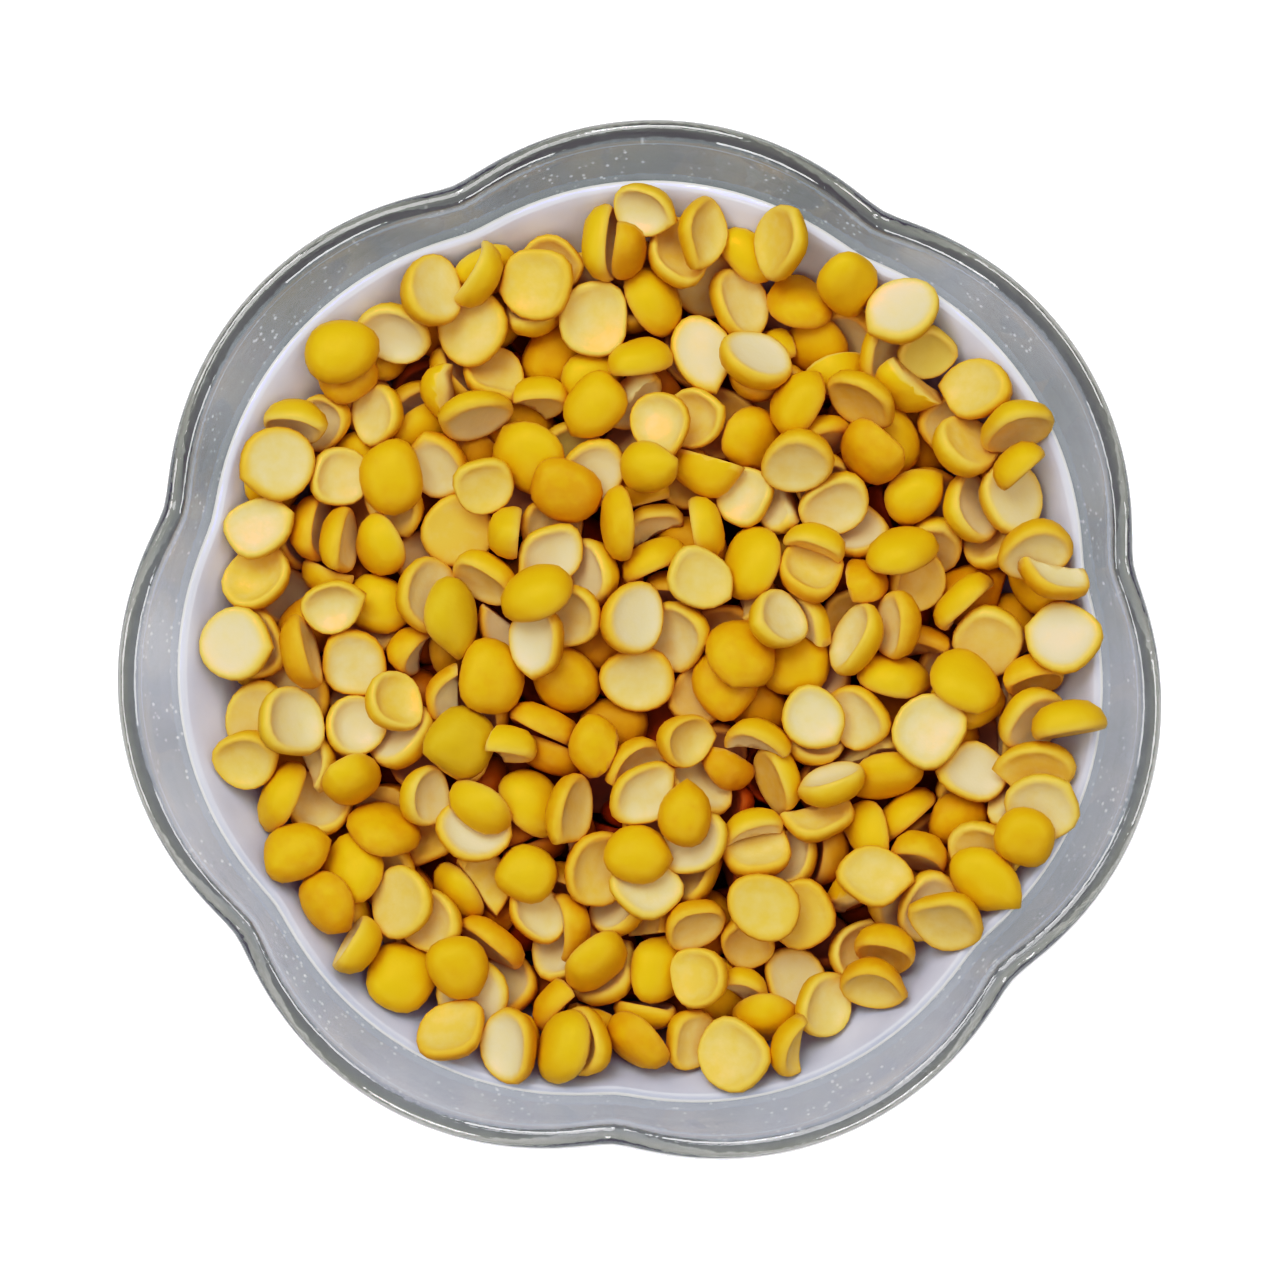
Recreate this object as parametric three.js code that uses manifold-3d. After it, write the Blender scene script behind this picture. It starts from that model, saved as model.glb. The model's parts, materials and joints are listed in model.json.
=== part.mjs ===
// Dish of dry split lentils: a clear glass dish with a seven-lobed rim, a thin white liner
// that follows its wall, and a low heap of split yellow lentils.
//
// Millimetres, +Z up. The origin is the middle of the flat underside of the glass foot.

import * as THREE from 'three';
import { mergeVertices } from 'three/addons/utils/BufferGeometryUtils.js';
import Module from 'manifold-3d';

const wasm = await Module();
wasm.setup();

// ---- Driving dimensions: the lobed plan of the dish ------------------------------------

const LOBES = 7;
const FIRST_NOTCH = THREE.MathUtils.degToRad(9.5); // angle of one notch from +X
const LOBE_ARC_RADIUS = 31.2; // each lobe of the rim is an arc of this radius ...
const LOBE_ARC_CENTRE = 21.9; // ... about a point this far from the dish's axis
const NOTCH_SOFTNESS = 0.03; // radians over which two neighbouring arcs melt together
const RIM_RADIUS = 51.75; // mean outer radius of the rim

// ---- Driving dimensions: heights and walls ---------------------------------------------

const DISH_HEIGHT = 38;
const FOOT_RADIUS = 24; // the flat ring of glass that stands on the table
const FOOT_HEIGHT = 3;
const FOOT_FLARE = 2; // the foot is this much wider at its top
const BASE_THICKNESS = 6.5; // solid glass under the floor of the dish
const FLOOR_RADIUS = 22;
const RIM_THICKNESS = 2.4;
const WALL_LIFT = 1.05; // above 1: the wall steepens towards the rim
const WALL_ROUND = 0.85; // below 1: the wall leaves the floor in a curve
const LOBES_START = 6; // the dish is round below this height and fully lobed at the rim
const LOBES_GROWTH = 2.8;

const FIT_GAP = 0.3; // between the glass, the liner and the heap
const LINER_THICKNESS = 0.8;
const LINER_EDGE_HEIGHT = 32.6;

const HEAP_EDGE_HEIGHT = 31; // where the heap meets the liner
const HEAP_CROWN_HEIGHT = 36.8; // top of the heap in the middle, without its bumps
const CORE_DEPTH = 2.2; // the smooth core lies this far below the heap's surface

// ---- Driving dimensions: one split lentil ----------------------------------------------

const LENTIL_RADIUS = 3.4;
const LENTIL_THICKNESS = 3.0;
const LENTIL_SIDES = 7;
const LENTIL_COUNT = 144;
const SIZE_SPREAD = 0.14; // the halves are this much larger or smaller than the mean
const SHARE_FACE_UP = 0.46; // flat cut face up
const SHARE_DOME_UP = 0.32; // round side up, and the rest stand on edge
const LEAN = 0.42; // greatest lean of a lying half, radians
const EDGE_LEAN = 0.5; // greatest lean of a standing half from upright, radians
const SCATTER = 0.7; // how far a half strays from the even spread
const RISE = 0.8; // how far a half lies above or below the heap's surface
const RANDOM_SEED = 20417;

// ---- Shape rules -----------------------------------------------------------------------

// Radius of the rim's outline at an angle about the dish's axis.
function rimOutline(angle) {
  const step = (2 * Math.PI) / LOBES;
  const turns = (angle - FIRST_NOTCH) / step;
  const fromNotch = Math.abs(turns - Math.round(turns)) * step;
  const softened = Math.sqrt(fromNotch ** 2 + NOTCH_SOFTNESS ** 2);
  const fromLobe = step / 2 - softened;
  const across = LOBE_ARC_CENTRE * Math.sin(fromLobe);
  return LOBE_ARC_CENTRE * Math.cos(fromLobe) + Math.sqrt(LOBE_ARC_RADIUS ** 2 - across ** 2);
}

// How much the dish is widened at an angle and a height by its lobes, 1 where it is round.
function lobing(angle, height) {
  const climb = THREE.MathUtils.clamp((height - LOBES_START) / (DISH_HEIGHT - LOBES_START), 0, 1);
  return 1 + climb ** LOBES_GROWTH * (rimOutline(angle) / RIM_RADIUS - 1);
}

// The wall's radius at a share of its height, from its low end (0) to its rim (1).
function wallCurve(share, lowRadius, highRadius) {
  const swept = (1 - (1 - share) ** WALL_LIFT) ** WALL_ROUND;
  return lowRadius + (highRadius - lowRadius) * swept;
}

// Shares of the wall's height, closer together where the wall bends most.
function wallShares(count) {
  return Array.from({ length: count + 1 }, (_, i) => 1 - (1 - (i / count) ** 1.5) ** 1.15);
}

// The inner face of the glass, from the axis across the floor and up to a height.
function innerFace(count, topHeight) {
  const wallTop = DISH_HEIGHT - RIM_THICKNESS / 2;
  const topShare = (topHeight - BASE_THICKNESS) / (wallTop - BASE_THICKNESS);
  const points = [new THREE.Vector2(0, BASE_THICKNESS)];
  for (const share of wallShares(count)) {
    const u = share * topShare;
    const radius = wallCurve(u, FLOOR_RADIUS, RIM_RADIUS - RIM_THICKNESS);
    points.push(new THREE.Vector2(radius, BASE_THICKNESS + u * (wallTop - BASE_THICKNESS)));
  }
  return points;
}

// A profile moved into the bowl by a distance, square to itself.
function movedInward(points, distance) {
  return points.map((point, i) => {
    const before = points[Math.max(i - 1, 0)];
    const after = points[Math.min(i + 1, points.length - 1)];
    const along = new THREE.Vector2().subVectors(after, before).normalize();
    const inward = new THREE.Vector2(-along.y, along.x);
    return point.clone().addScaledVector(i === 0 ? new THREE.Vector2(0, 1) : inward, distance);
  });
}

// A solid turned from a closed profile about +Z, then widened by the lobes.
function lobedLathe(profile, sidesPerLobe) {
  const geometry = new THREE.LatheGeometry(profile, LOBES * sidesPerLobe, FIRST_NOTCH + Math.PI / 2);
  geometry.rotateX(Math.PI / 2);
  const place = geometry.attributes.position;
  for (let i = 0; i < place.count; i += 1) {
    const factor = lobing(Math.atan2(place.getY(i), place.getX(i)), place.getZ(i));
    place.setXY(i, place.getX(i) * factor, place.getY(i) * factor);
  }
  return geometry;
}

// ---- Joining ---------------------------------------------------------------------------

function toManifold(geometry) {
  const bare = geometry.clone();
  bare.deleteAttribute('normal');
  bare.deleteAttribute('uv');
  const merged = mergeVertices(bare, 1e-4);
  const corners = merged.index.array;
  const kept = [];
  for (let i = 0; i < corners.length; i += 3) {
    const [a, b, c] = corners.slice(i, i + 3);
    if (a !== b && b !== c && c !== a) kept.push(a, b, c);
  }
  const mesh = new wasm.Mesh({
    numProp: 3,
    vertProperties: new Float32Array(merged.attributes.position.array),
    triVerts: new Uint32Array(kept),
  });
  return new wasm.Manifold(mesh);
}

function toGeometry(solid) {
  const mesh = solid.getMesh();
  const geometry = new THREE.BufferGeometry();
  geometry.setAttribute('position', new THREE.BufferAttribute(mesh.vertProperties, 3));
  geometry.setIndex(new THREE.BufferAttribute(mesh.triVerts, 1));
  return geometry;
}

// ---- The glass dish --------------------------------------------------------------------

const GLASS_SIDES = 8; // for each lobe
const OUTER_WALL_STEPS = 9;
const INNER_WALL_STEPS = 8;
const RIM_STEPS = 5;

function glassDish() {
  const profile = [
    new THREE.Vector2(0, 0),
    new THREE.Vector2(FOOT_RADIUS, 0),
    new THREE.Vector2(FOOT_RADIUS + FOOT_FLARE * 0.75, FOOT_HEIGHT * 0.3),
  ];
  const wallTop = DISH_HEIGHT - RIM_THICKNESS / 2;
  for (const share of wallShares(OUTER_WALL_STEPS)) {
    const radius = wallCurve(share, FOOT_RADIUS + FOOT_FLARE, RIM_RADIUS);
    profile.push(new THREE.Vector2(radius, FOOT_HEIGHT + share * (wallTop - FOOT_HEIGHT)));
  }
  const rimCentre = RIM_RADIUS - RIM_THICKNESS / 2;
  for (let i = 1; i < RIM_STEPS; i += 1) {
    const turn = (Math.PI * i) / RIM_STEPS;
    const out = (RIM_THICKNESS / 2) * Math.cos(turn);
    const up = (RIM_THICKNESS / 2) * Math.sin(turn);
    profile.push(new THREE.Vector2(rimCentre + out, wallTop + up));
  }
  profile.push(...innerFace(INNER_WALL_STEPS, wallTop).reverse());
  return lobedLathe(profile, GLASS_SIDES);
}

// ---- The white liner -------------------------------------------------------------------

const LINER_SIDES = 8; // for each lobe
const LINER_STEPS = 4;

function whiteLiner() {
  const glass = innerFace(LINER_STEPS, LINER_EDGE_HEIGHT);
  const outer = movedInward(glass, FIT_GAP);
  const inner = movedInward(glass, FIT_GAP + LINER_THICKNESS);
  return lobedLathe([...outer, ...inner.reverse()], LINER_SIDES);
}

// ---- The heap --------------------------------------------------------------------------

const CORE_SIDES = 4; // for each lobe
const CORE_WALL_STEPS = 5;
const CORE_TOP_STEPS = 4;
const LINER_TO_HEAP = FIT_GAP + LINER_THICKNESS + FIT_GAP;

// Radius of the space inside the liner, or above its edge inside the glass, at a height.
function freeRadius(height) {
  const inset = height < LINER_EDGE_HEIGHT + FIT_GAP ? LINER_TO_HEAP : FIT_GAP;
  const face = movedInward(innerFace(40, DISH_HEIGHT - RIM_THICKNESS / 2), inset);
  for (let i = 1; i < face.length; i += 1) {
    if (face[i].y >= height) {
      const share = (height - face[i - 1].y) / (face[i].y - face[i - 1].y);
      return THREE.MathUtils.lerp(face[i - 1].x, face[i].x, share);
    }
  }
  return face[face.length - 1].x;
}

const HEAP_RADIUS = freeRadius(HEAP_EDGE_HEIGHT);

// Height of the heap's surface at a distance from the axis: a low dome.
function heapHeight(distance) {
  const share = Math.min(distance / HEAP_RADIUS, 1);
  return HEAP_CROWN_HEIGHT - (HEAP_CROWN_HEIGHT - HEAP_EDGE_HEIGHT) * share ** 2;
}

function heapCore() {
  const profile = movedInward(innerFace(CORE_WALL_STEPS, HEAP_EDGE_HEIGHT - CORE_DEPTH), LINER_TO_HEAP);
  const edge = profile[profile.length - 1];
  for (let i = CORE_TOP_STEPS - 1; i >= 0; i -= 1) {
    const distance = (edge.x * i) / CORE_TOP_STEPS;
    profile.push(new THREE.Vector2(distance, heapHeight(distance) - CORE_DEPTH));
  }
  return lobedLathe(profile, CORE_SIDES);
}

// A seeded draw between 0 and 1.
function makeDraw(seed) {
  let state = seed;
  return () => {
    state = (Math.imul(state, 1664525) + 1013904223) >>> 0;
    return state / 4294967296;
  };
}

// One half of a lentil: a flat cut face at its foot and a low dome over it, along +Z.
function halfLentil(radius, thickness, oval) {
  const profile = [
    new THREE.Vector2(0, 0),
    new THREE.Vector2(radius, 0),
    new THREE.Vector2(radius * 0.8, thickness * 0.7),
    new THREE.Vector2(0, thickness),
  ];
  const geometry = new THREE.LatheGeometry(profile, LENTIL_SIDES);
  geometry.rotateX(Math.PI / 2);
  geometry.scale(oval, 1 / oval, 1);
  return geometry;
}

// The halves in one layer: an even spiral spread over the heap with small strays. A half that
// would cross the liner or the glass is moved towards the axis.
function heapHalves() {
  const draw = makeDraw(RANDOM_SEED);
  const between = (low, high) => low + (high - low) * draw();
  const goldenAngle = Math.PI * (3 - Math.sqrt(5));
  const halves = [];
  for (let i = 0; i < LENTIL_COUNT; i += 1) {
    const size = 1 + between(-SIZE_SPREAD, SIZE_SPREAD);
    const geometry = halfLentil(LENTIL_RADIUS * size, LENTIL_THICKNESS * size, between(0.93, 1.08));
    geometry.translate(0, 0, -LENTIL_THICKNESS / 2);
    const kind = draw();
    let lean = between(0, LEAN);
    if (kind < SHARE_FACE_UP) lean = Math.PI - lean;
    else if (kind > SHARE_FACE_UP + SHARE_DOME_UP) lean = Math.PI / 2 + between(-EDGE_LEAN, EDGE_LEAN);
    geometry.rotateZ(between(0, 2 * Math.PI));
    geometry.rotateX(lean);
    geometry.rotateZ(between(0, 2 * Math.PI));

    const distance = (HEAP_RADIUS - LENTIL_RADIUS * 0.6) * Math.sqrt((i + 0.5) / LENTIL_COUNT);
    const angle = i * goldenAngle;
    const slope = Math.atan((2 * (HEAP_CROWN_HEIGHT - HEAP_EDGE_HEIGHT) * distance) / HEAP_RADIUS ** 2);
    const outward = new THREE.Vector3(-Math.sin(angle), Math.cos(angle), 0);
    geometry.applyMatrix4(new THREE.Matrix4().makeRotationAxis(outward, slope));
    const place = new THREE.Vector3(
      distance * Math.cos(angle) + between(-SCATTER, SCATTER),
      distance * Math.sin(angle) + between(-SCATTER, SCATTER),
      heapHeight(distance) - LENTIL_THICKNESS * 0.45 + between(-RISE, RISE),
    );
    geometry.translate(place.x, place.y, place.z);
    keepInside(geometry);
    halves.push(toManifold(geometry));
  }
  return halves;
}

// Moves a half towards the axis until all its corners are in the free space of the dish.
function keepInside(geometry) {
  const corners = geometry.attributes.position;
  geometry.computeBoundingBox();
  const middle = geometry.boundingBox.getCenter(new THREE.Vector3());
  let excess = 0;
  for (let i = 0; i < corners.count; i += 1) {
    const [x, y, z] = [corners.getX(i), corners.getY(i), corners.getZ(i)];
    const room = freeRadius(z) * lobing(Math.atan2(y, x), z);
    excess = Math.max(excess, Math.hypot(x, y) - room);
  }
  const distance = Math.hypot(middle.x, middle.y);
  geometry.translate((-middle.x / distance) * excess, (-middle.y / distance) * excess, 0);
}

const SMALLEST_EDGE = 0.04; // shorter edges where halves meet are melted away

// The core and the halves as one body: a sealed hollow between halves is filled, and a scrap
// that touches nothing is dropped.
function lentilHeap() {
  const joined = wasm.Manifold.union([toManifold(heapCore()), ...heapHalves()]);
  const bodies = joined.simplify(SMALLEST_EDGE).decompose();
  bodies.sort((a, b) => b.volume() - a.volume());
  return toGeometry(bodies[0]);
}

// ---- The part --------------------------------------------------------------------------

const MATERIALS = {
  glass: new THREE.MeshStandardMaterial({ color: 0xa9adb2, roughness: 0.05, metalness: 0 }),
  liner: new THREE.MeshStandardMaterial({ color: 0xe4e4ea, roughness: 0.6, metalness: 0 }),
  lentils: new THREE.MeshStandardMaterial({ color: 0xd7a017, roughness: 0.55, metalness: 0 }),
};

function named(name, geometry, material) {
  const mesh = new THREE.Mesh(geometry, material);
  mesh.name = name;
  return mesh;
}

const part = new THREE.Group();
part.add(named('glass_dish', glassDish(), MATERIALS.glass));
part.add(named('white_liner', whiteLiner(), MATERIALS.liner));
part.add(named('lentil_heap', lentilHeap(), MATERIALS.lentils));

export default part;
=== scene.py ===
# %% [markdown]
# # A glass dish of dry split lentils
#
# This lesson dresses a measured model of a small pressed-glass dish. The model holds the true
# sizes: a seven-lobed clear dish, a thin white liner inside it and a low heap of split yellow
# lentils. Here each of the three gets its fine surface: smooth glass, a satin liner, and some
# hundreds of single lentil halves that are poured and left to settle.

import json
import math
import random
from functools import partial

import bmesh
import bpy
import numpy as np
from mathutils import Matrix, Quaternion, Vector

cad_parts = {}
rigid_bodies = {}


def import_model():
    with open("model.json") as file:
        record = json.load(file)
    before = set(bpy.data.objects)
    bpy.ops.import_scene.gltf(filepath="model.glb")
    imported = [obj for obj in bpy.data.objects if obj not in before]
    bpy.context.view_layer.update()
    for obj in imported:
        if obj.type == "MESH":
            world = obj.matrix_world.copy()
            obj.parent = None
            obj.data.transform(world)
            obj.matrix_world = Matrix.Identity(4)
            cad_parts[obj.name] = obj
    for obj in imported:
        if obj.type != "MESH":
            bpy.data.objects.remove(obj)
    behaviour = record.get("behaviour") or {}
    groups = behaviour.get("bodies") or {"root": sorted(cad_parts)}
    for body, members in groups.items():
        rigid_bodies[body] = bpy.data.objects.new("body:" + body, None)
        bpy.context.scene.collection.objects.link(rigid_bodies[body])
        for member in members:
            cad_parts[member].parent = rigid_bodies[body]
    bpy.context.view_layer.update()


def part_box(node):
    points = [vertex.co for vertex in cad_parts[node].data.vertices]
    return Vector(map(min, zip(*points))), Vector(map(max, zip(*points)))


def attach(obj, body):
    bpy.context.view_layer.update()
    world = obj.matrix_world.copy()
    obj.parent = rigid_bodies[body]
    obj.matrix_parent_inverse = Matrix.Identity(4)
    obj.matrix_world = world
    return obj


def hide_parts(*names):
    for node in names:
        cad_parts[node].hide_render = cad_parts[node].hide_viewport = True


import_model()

# %% [markdown]
# ## Sizes
#
# All sizes are in metres. The rim is a chain of seven equal arcs, each about its own centre, and
# the wall is one curve between the floor and the rim. The heights come from the measured nodes,
# and the few numbers that describe the curve are repeated here so that the fine mesh and the
# measured one agree.

# %% Name the sizes
MM = 0.001

LOBES = 7
LOBE_STEP = 2 * math.pi / LOBES
FIRST_NOTCH = math.radians(9.5)
LOBE_ARC_RADIUS = 31.2 * MM
LOBE_ARC_CENTRE = 21.9 * MM
NOTCH_SOFTNESS = 0.03
RIM_RADIUS = 51.75 * MM

DISH_HEIGHT = 38 * MM
FOOT_RADIUS = 24 * MM
FOOT_HEIGHT = 3 * MM
FOOT_FLARE = 2 * MM
BASE_THICKNESS = 6.5 * MM
FLOOR_RADIUS = 22 * MM
RIM_THICKNESS = 2.4 * MM
WALL_LIFT = 1.05
WALL_ROUND = 0.85
LOBES_START = 6 * MM
LOBES_GROWTH = 2.8

FIT_GAP = 0.3 * MM
LINER_THICKNESS = 0.8 * MM
LINER_EDGE_HEIGHT = 32.6 * MM

HEAP_EDGE_HEIGHT = 31 * MM
HEAP_CROWN_HEIGHT = 36.8 * MM
WALL_TOP = DISH_HEIGHT - RIM_THICKNESS / 2

dish_low, dish_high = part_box("glass_dish")
print("the dish is", round((dish_high[0] - dish_low[0]) / MM, 1), "mm wide")

# %% [markdown]
# ## A few small helpers
#
# Colours are picked as sRGB hex values, as in any paint program, and Blender mixes light in
# linear values, so one function turns the one into the other. A second function adds a node to
# a tree, sets it and links it, so that a whole material reads as a short list. `partial` ties
# that function to a new material or tree, where it is called `add`. Two more put an object in
# the scene and store a value at each point of a mesh.

# %% Helpers for colours, nodes and objects
def linear(hex_colour):
    """The linear colour, with alpha 1, of an sRGB hex value such as "d7a017"."""
    shares = [int(hex_colour[i : i + 2], 16) / 255 for i in (0, 2, 4)]
    return [s / 12.92 if s <= 0.04045 else ((s + 0.055) / 1.055) ** 2.4 for s in shares] + [1.0]


def add_node(tree, kind, inputs=None, stops=(), **settings):
    """Adds a node, sets its settings, and fills or links its inputs by name or by number.

    An input takes a value, a socket, or a node, whose first output in use is then linked. The
    stops of a colour ramp are (place, hex colour) pairs.
    """
    node = tree.nodes.new(kind)
    for name, value in settings.items():
        setattr(node, name, value)
    for name, value in (inputs or {}).items():
        if isinstance(value, bpy.types.Node):
            value = next(socket for socket in value.outputs if socket.enabled)
        if isinstance(value, bpy.types.NodeSocket):
            tree.links.new(value, node.inputs[name])
        else:
            node.inputs[name].default_value = value
    for number, (place, colour) in enumerate(stops):
        elements = node.color_ramp.elements
        element = elements[number] if number < len(elements) else elements.new(place)
        element.position = place
        element.color = linear(colour)
    return node


def add_object(name, data):
    """A new object of the scene."""
    added = bpy.data.objects.new(name, data)
    bpy.context.scene.collection.objects.link(added)
    return added


def store(mesh, name, values, kind="FLOAT"):
    """Stores an attribute with one value for each point of a mesh."""
    mesh.attributes.new(name, kind, "POINT").data.foreach_set("value", values)


def new_material(name):
    """An empty material, and the function that adds nodes to it."""
    material = bpy.data.materials.new(name)
    material.use_nodes = True
    material.node_tree.nodes.clear()
    return material, partial(add_node, material.node_tree)


def new_tree(name, inputs, output):
    """A tree for a modifier, the function that adds nodes to it, and its named inputs."""
    tree = bpy.data.node_groups.new(name, "GeometryNodeTree")
    tree.is_modifier = True
    for socket, kind in inputs.items():
        tree.interface.new_socket(socket, in_out="INPUT", socket_type="NodeSocket" + kind)
    tree.interface.new_socket(output, in_out="OUTPUT", socket_type="NodeSocketGeometry")
    add = partial(add_node, tree)
    return tree, add, add("NodeGroupInput").outputs


print("cream of a cut face in linear light:", [round(v, 3) for v in linear("e2c890")])

# %% [markdown]
# ## Pressed clear glass
#
# The dish is soda-lime glass, pressed in a mould and fire polished. Its refractive index is
# about 1.52, and thick pressed glass is a little grey; its grey deepening towards +Y is painted
# shade. The mould leaves the surface gently wavy over some 8 mm, which bends what is seen
# through it, and a fine seam runs down the wall from each notch. Small bubbles, the seeds, crowd
# in places, drawn as white specks in the tint, which are a painted glint. Wiping leaves faint dull
# smears, so the roughness isn't the same everywhere. The outer side of the rim has the palest
# tint, which is painted light that brightens it. The attribute "outward" tells it apart.

# %% Two patterns that the glass and the liner share
def clouds_and_shade_drift(add, place, cloud_size, detail):
    """Rises from -Y to +Y across the dish as painted shade, half and half with soft clouds."""
    cloud = add("ShaderNodeTexNoise", {"Vector": place, "Scale": 1 / cloud_size, "Detail": detail})
    along = add("ShaderNodeSeparateXYZ", {"Vector": place}).outputs["Y"]
    limits = {"From Min": -RIM_RADIUS, "From Max": RIM_RADIUS}
    shade_drift = add("ShaderNodeMapRange", {"Value": along, **limits})
    both = add("ShaderNodeMath", {0: shade_drift, 1: cloud}, operation="ADD")
    return add("ShaderNodeMath", {0: both, 1: 0.5}, operation="MULTIPLY")


def outer_side(add, low, high):
    """0 where the attribute "outward" is low, 1 where it is high: the side away from the axis."""
    outward = add("ShaderNodeAttribute", attribute_name="outward").outputs["Fac"]
    return add("ShaderNodeMapRange", {"Value": outward, "From Min": low, "From Max": high})


# %% Make the glass
GLASS_WAVE = 8 * MM
SMEAR_SIZE = 5 * MM
CLOUD_SIZE = 22 * MM
SEED_SPACING = 1.0 * MM  # between the small bubbles that glassmakers call seeds
SEED_SHARE = 0.24  # of that spacing, to which a seed reaches
PALE_RIM_FROM = 36.2 * MM  # the rim's pale tint, painted light, begins at this height
PALE_RIM_TO = 37.2 * MM
SEAM_WIDTH = 1.1 * MM
SEAM_HEIGHT = 0.1 * MM
GLASS_DENSITY = 8.0  # of the grey in the glass, for each metre of it


def pressed_glass():
    material, add = new_material("pressed soda-lime glass")
    place = add("ShaderNodeTexCoord").outputs["Object"]
    axes = add("ShaderNodeSeparateXYZ", {"Vector": place}).outputs
    wave = add(
        "ShaderNodeTexNoise", {"Vector": place, "Scale": 1 / GLASS_WAVE, "Detail": 4.0, "Roughness": 0.62}
    )
    wavy = add("ShaderNodeBump", {"Height": wave, "Strength": 0.4, "Distance": 0.4 * MM})
    angle = add("ShaderNodeMath", {0: axes["Y"], 1: axes["X"]}, operation="ARCTAN2").outputs[0]
    from_notch = add("ShaderNodeMath", {0: angle, 1: FIRST_NOTCH}, operation="SUBTRACT")
    from_seam = add("ShaderNodeMath", {0: from_notch, 1: LOBE_STEP / 2}, operation="PINGPONG")
    seam = add(
        "ShaderNodeMapRange",
        {"Value": from_seam, "From Max": SEAM_WIDTH / RIM_RADIUS, "To Min": 1.0, "To Max": 0.0},
        interpolation_type="SMOOTHSTEP",
    )
    bump = add("ShaderNodeBump", {"Height": seam, "Strength": 1.0, "Distance": SEAM_HEIGHT, "Normal": wavy})
    smear = add("ShaderNodeTexNoise", {"Vector": place, "Scale": 1 / SMEAR_SIZE, "Detail": 5.0})
    rough = add(
        "ShaderNodeMapRange",
        {"Value": smear, "From Min": 0.5, "From Max": 0.75, "To Min": 0.04, "To Max": 0.14},
    )
    # painted shade: the glass's grey deepens towards +Y, half and half with random clouds
    grey_and_shade = clouds_and_shade_drift(add, place, CLOUD_SIZE, detail=3.0)
    body = add("ShaderNodeValToRGB", {"Fac": grey_and_shade}, [(0.3, "a3a5af"), (0.7, "686a6e")])
    rim = add("ShaderNodeValToRGB", {"Fac": grey_and_shade}, [(0.3, "e6e3da"), (0.7, "dcdad2")])
    # painted light: the outer side of the rim takes a pale tint that brightens it
    rim_top = add(
        "ShaderNodeMapRange",
        {"Value": axes["Z"], "From Min": PALE_RIM_FROM, "From Max": PALE_RIM_TO},
        interpolation_type="SMOOTHSTEP",
    )
    outside = outer_side(add, low=-0.2, high=0.4)
    pale_rim_share = add("ShaderNodeMath", {0: rim_top, 1: outside}, operation="MULTIPLY")
    tint = add("ShaderNodeMix", {"Factor": pale_rim_share, "A": body, "B": rim}, data_type="RGBA")
    # the seeds are real bubbles, drawn as white specks in the tint: a painted glint
    seeds = add("ShaderNodeTexVoronoi", {"Vector": place, "Scale": 1 / SEED_SPACING})
    seed_glint = add("ShaderNodeMapRange", {"Value": seeds, "From Min": SEED_SHARE, "From Max": 0.0})
    crowd = add("ShaderNodeMapRange", {"Value": smear, "From Min": 0.48, "From Max": 0.62})
    seeded = add("ShaderNodeMath", {0: seed_glint, 1: crowd}, operation="MULTIPLY")
    glint_tint = add("ShaderNodeMix", {"Factor": seeded, "A": tint, "B": linear("ffffff")}, data_type="RGBA")
    glass = add(
        "ShaderNodeBsdfPrincipled",
        {"Base Color": glint_tint, "Roughness": rough, "IOR": 1.52, "Transmission Weight": 1.0, "Normal": bump},
    )
    dye = add("ShaderNodeVolumeAbsorption", {"Color": linear("8e8f90"), "Density": GLASS_DENSITY})
    add("ShaderNodeOutputMaterial", {"Surface": glass, "Volume": dye})
    return material


glass_material = pressed_glass()
print("made", glass_material.name)

# %% [markdown]
# ## A satin white liner
#
# The liner is a thin white plastic skin with a soft sheen and a very fine unevenness. Its inner
# side is faintly blue and clouded, and greyer towards -Y, which is painted shade. Its outer side
# is a plain warm white, because the wall of the glass pipes that side's colour up into the rim.

# %% Make the liner's plastic
LINER_CLOUD_SIZE = 9 * MM
LINER_GRAIN_SIZE = 0.5 * MM


def satin_plastic():
    material, add = new_material("satin white plastic")
    place = add("ShaderNodeTexCoord").outputs["Object"]
    white_and_shade = clouds_and_shade_drift(add, place, LINER_CLOUD_SIZE, detail=4.0)
    # painted shade: the inner side is greyer towards -Y, half and half with random clouds
    inner = add("ShaderNodeValToRGB", {"Fac": white_and_shade}, [(0.25, "a6aabe"), (0.75, "e0e2f4")])
    outside = outer_side(add, low=0.3, high=0.6)
    colour = add("ShaderNodeMix", {"Factor": outside, "A": inner, "B": linear("f0efea")}, data_type="RGBA")
    grain = add("ShaderNodeTexNoise", {"Vector": place, "Scale": 1 / LINER_GRAIN_SIZE, "Detail": 2.0})
    bump = add("ShaderNodeBump", {"Height": grain, "Strength": 0.15, "Distance": 0.05 * MM})
    plastic = add(
        "ShaderNodeBsdfPrincipled", {"Base Color": colour, "Roughness": 0.38, "IOR": 1.49, "Normal": bump}
    )
    add("ShaderNodeOutputMaterial", {"Surface": plastic})
    return material


liner_material = satin_plastic()
print("made", liner_material.name)

# %% [markdown]
# ## One tree for all the lobed pieces
#
# A potter would turn a profile and then press the rim into lobes, and this tree does the same.
# It takes a profile as a chain of points in the XZ plane, lays one copy at each step round the
# axis as the columns of a grid, and widens each point by the lobes at its angle and height. The
# arcs of the rim need some twenty sums, so they are kept as a table of steps, one line a sum.
# Welding at the end closes the seam and both poles.

# %% Build the lobed lathe
LATHE_SIZES = {
    "Notch angle": FIRST_NOTCH,
    "Arc radius": LOBE_ARC_RADIUS,
    "Arc centre": LOBE_ARC_CENTRE,
    "Softness": NOTCH_SOFTNESS,
    "Rim radius": RIM_RADIUS,
    "Dish height": DISH_HEIGHT,
    "Lobes start": LOBES_START,
    "Lobes growth": LOBES_GROWTH,
}
WELD = 0.01 * MM

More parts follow.
